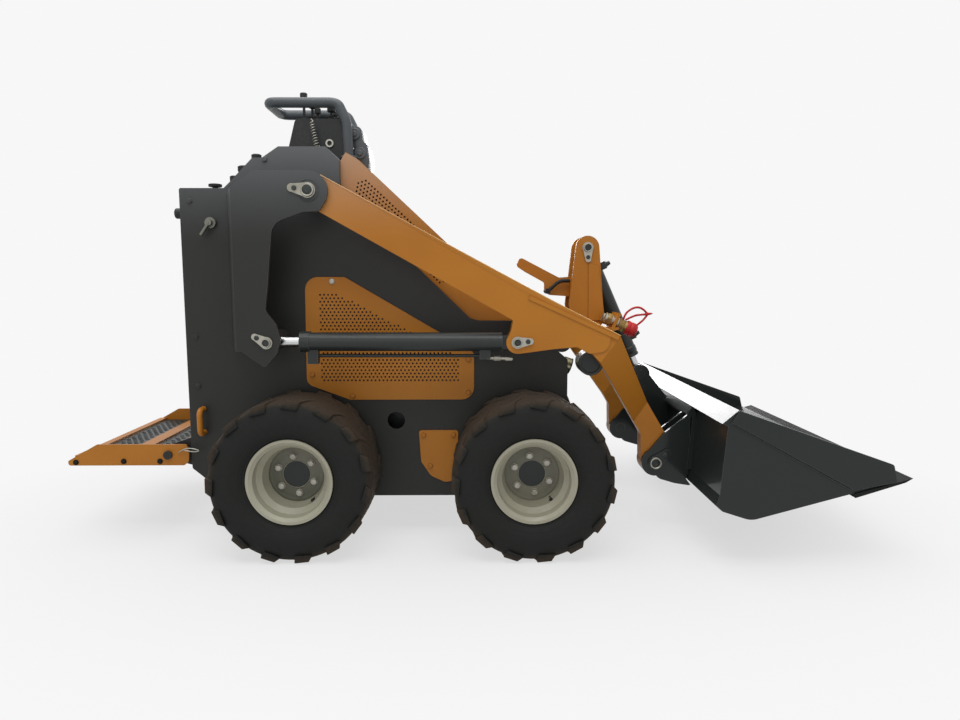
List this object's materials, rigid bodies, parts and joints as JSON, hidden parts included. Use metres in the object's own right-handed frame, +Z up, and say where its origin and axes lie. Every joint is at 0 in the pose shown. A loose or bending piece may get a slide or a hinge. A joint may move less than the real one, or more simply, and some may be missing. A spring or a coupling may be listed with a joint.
{
  "type": "stand-on mini skid steer loader",
  "caption": "Compact stand-on skid steer loader with orange lift arms, black bucket, rear platform and four chunky tyres.",
  "frame": {"origin": "on the ground, under the middle of the overall length and width", "axes": "+X to the front (bucket end), +Y to the left, +Z up"},
  "size_m": [2.4278, 1.1, 1.399],
  "materials": {
    "orange_paint": "satin",
    "black_paint": "satin",
    "grey_paint": "satin",
    "rim_paint": "satin",
    "bright_steel": "polished",
    "chrome_rod": "polished",
    "worn_steel": "worn",
    "tyre_rubber": "matte",
    "black_rubber": "matte",
    "black_plastic": "matte",
    "lamp_glass": "clear",
    "red_plastic": "gloss"
  },
  "bodies": {
    "chassis": {"chassis_shell": "grey_paint", "engine_block": "black_paint", "rear_door": "grey_paint", "tower_ears": "grey_paint", "pivot_pins": "bright_steel", "hood": "orange_paint", "hood_sides": "orange_paint", "console_gauges": "black_plastic", "side_grilles": "orange_paint", "side_covers": "orange_paint", "control_pod": "black_plastic", "handle_bar": "black_paint", "control_levers": "black_plastic", "valve_block": "black_paint", "fuel_cap": "black_plastic", "rear_knob": "black_plastic", "side_latches": "bright_steel", "work_lamps": "lamp_glass", "tie_loops": "orange_paint", "platform_brackets": "grey_paint", "wheel_motors": "black_paint"},
    "wheel_rear_left": {"tyre_rear_left": "tyre_rubber", "rim_rear_left": "rim_paint", "hub_rear_left": "black_paint"},
    "wheel_rear_right": {"tyre_rear_right": "tyre_rubber", "rim_rear_right": "rim_paint", "hub_rear_right": "black_paint"},
    "wheel_front_left": {"tyre_front_left": "tyre_rubber", "rim_front_left": "rim_paint", "hub_front_left": "black_paint"},
    "wheel_front_right": {"tyre_front_right": "tyre_rubber", "rim_front_right": "rim_paint", "hub_front_right": "black_paint"},
    "boom": {"boom": "orange_paint", "boom_pins": "bright_steel", "coupler_bracket": "orange_paint", "aux_couplers": "bright_steel", "tilt_hoses": "black_rubber", "dust_cap": "red_plastic"},
    "lift_barrel_left": {"lift_barrel_left": "black_paint"},
    "lift_rod_left": {"lift_rod_left": "chrome_rod"},
    "lift_barrel_right": {"lift_barrel_right": "black_paint"},
    "lift_rod_right": {"lift_rod_right": "chrome_rod"},
    "tilt_barrel": {"tilt_barrel": "black_paint"},
    "tilt_rod": {"tilt_rod": "chrome_rod"},
    "bucket": {"bucket": "black_paint", "cutting_edge": "worn_steel", "mount_plate": "black_paint", "mount_pins": "bright_steel"},
    "platform": {"platform_frame": "orange_paint", "platform_deck": "black_paint"}
  },
  "joints": [
    {"name": "wheel_rear_left_spin", "type": "hinge", "parent": "chassis", "child": "wheel_rear_left", "pos_m": [-0.49, 0.404, 0.232], "axis": [0, 1, 0], "continuous": true},
    {"name": "wheel_rear_right_spin", "type": "hinge", "parent": "chassis", "child": "wheel_rear_right", "pos_m": [-0.49, -0.404, 0.232], "axis": [0, 1, 0], "continuous": true},
    {"name": "wheel_front_left_spin", "type": "hinge", "parent": "chassis", "child": "wheel_front_left", "pos_m": [0.19, 0.404, 0.232], "axis": [0, 1, 0], "continuous": true},
    {"name": "wheel_front_right_spin", "type": "hinge", "parent": "chassis", "child": "wheel_front_right", "pos_m": [0.19, -0.404, 0.232], "axis": [0, 1, 0], "continuous": true},
    {"name": "boom_lift", "type": "hinge", "parent": "chassis", "child": "boom", "pos_m": [-0.431, 0, 1.033], "axis": [0, -1, 0], "range_deg": [-5, 75]},
    {"name": "lift_barrel_left_swing", "type": "hinge", "parent": "boom", "child": "lift_barrel_left", "pos_m": [0.146, 0.389, 0.613], "axis": [0, -1, 0], "range_deg": [-23, 3]},
    {"name": "lift_rod_left_stroke", "type": "slide", "parent": "lift_barrel_left", "child": "lift_rod_left", "axis": [-1, 0, 0.0014], "range_m": [-0.04, 0.44]},
    {"name": "lift_barrel_right_swing", "type": "hinge", "parent": "boom", "child": "lift_barrel_right", "pos_m": [0.146, -0.389, 0.613], "axis": [0, -1, 0], "range_deg": [-23, 3]},
    {"name": "lift_rod_right_stroke", "type": "slide", "parent": "lift_barrel_right", "child": "lift_rod_right", "axis": [-1, 0, 0.0014], "range_m": [-0.04, 0.44]},
    {"name": "bucket_tilt", "type": "hinge", "parent": "boom", "child": "bucket", "pos_m": [0.582, 0, 0.229], "axis": [0, 1, 0], "range_deg": [-8, 75]},
    {"name": "tilt_barrel_swing", "type": "hinge", "parent": "boom", "child": "tilt_barrel", "pos_m": [0.399, 0, 0.895], "axis": [0, -1, 0], "range_deg": [-4, 16]},
    {"name": "tilt_rod_stroke", "type": "slide", "parent": "tilt_barrel", "child": "tilt_rod", "axis": [0.4099, 0, -0.9121], "range_m": [-0.04, 0.3]},
    {"name": "platform_fold", "type": "hinge", "parent": "chassis", "child": "platform", "pos_m": [-0.909, 0, 0.26], "axis": [0, 1, 0], "range_deg": [0, 86]}
  ],
  "couplings": [
    {"joint": "lift_barrel_left_swing", "follows": "boom_lift", "ratio": -0.296},
    {"joint": "lift_rod_left_stroke", "follows": "boom_lift", "m_per_rad": 0.328},
    {"joint": "lift_barrel_right_swing", "follows": "boom_lift", "ratio": -0.296},
    {"joint": "lift_rod_right_stroke", "follows": "boom_lift", "m_per_rad": 0.328},
    {"joint": "tilt_barrel_swing", "follows": "bucket_tilt", "ratio": 0.164},
    {"joint": "tilt_rod_stroke", "follows": "bucket_tilt", "m_per_rad": 0.2}
  ]
}
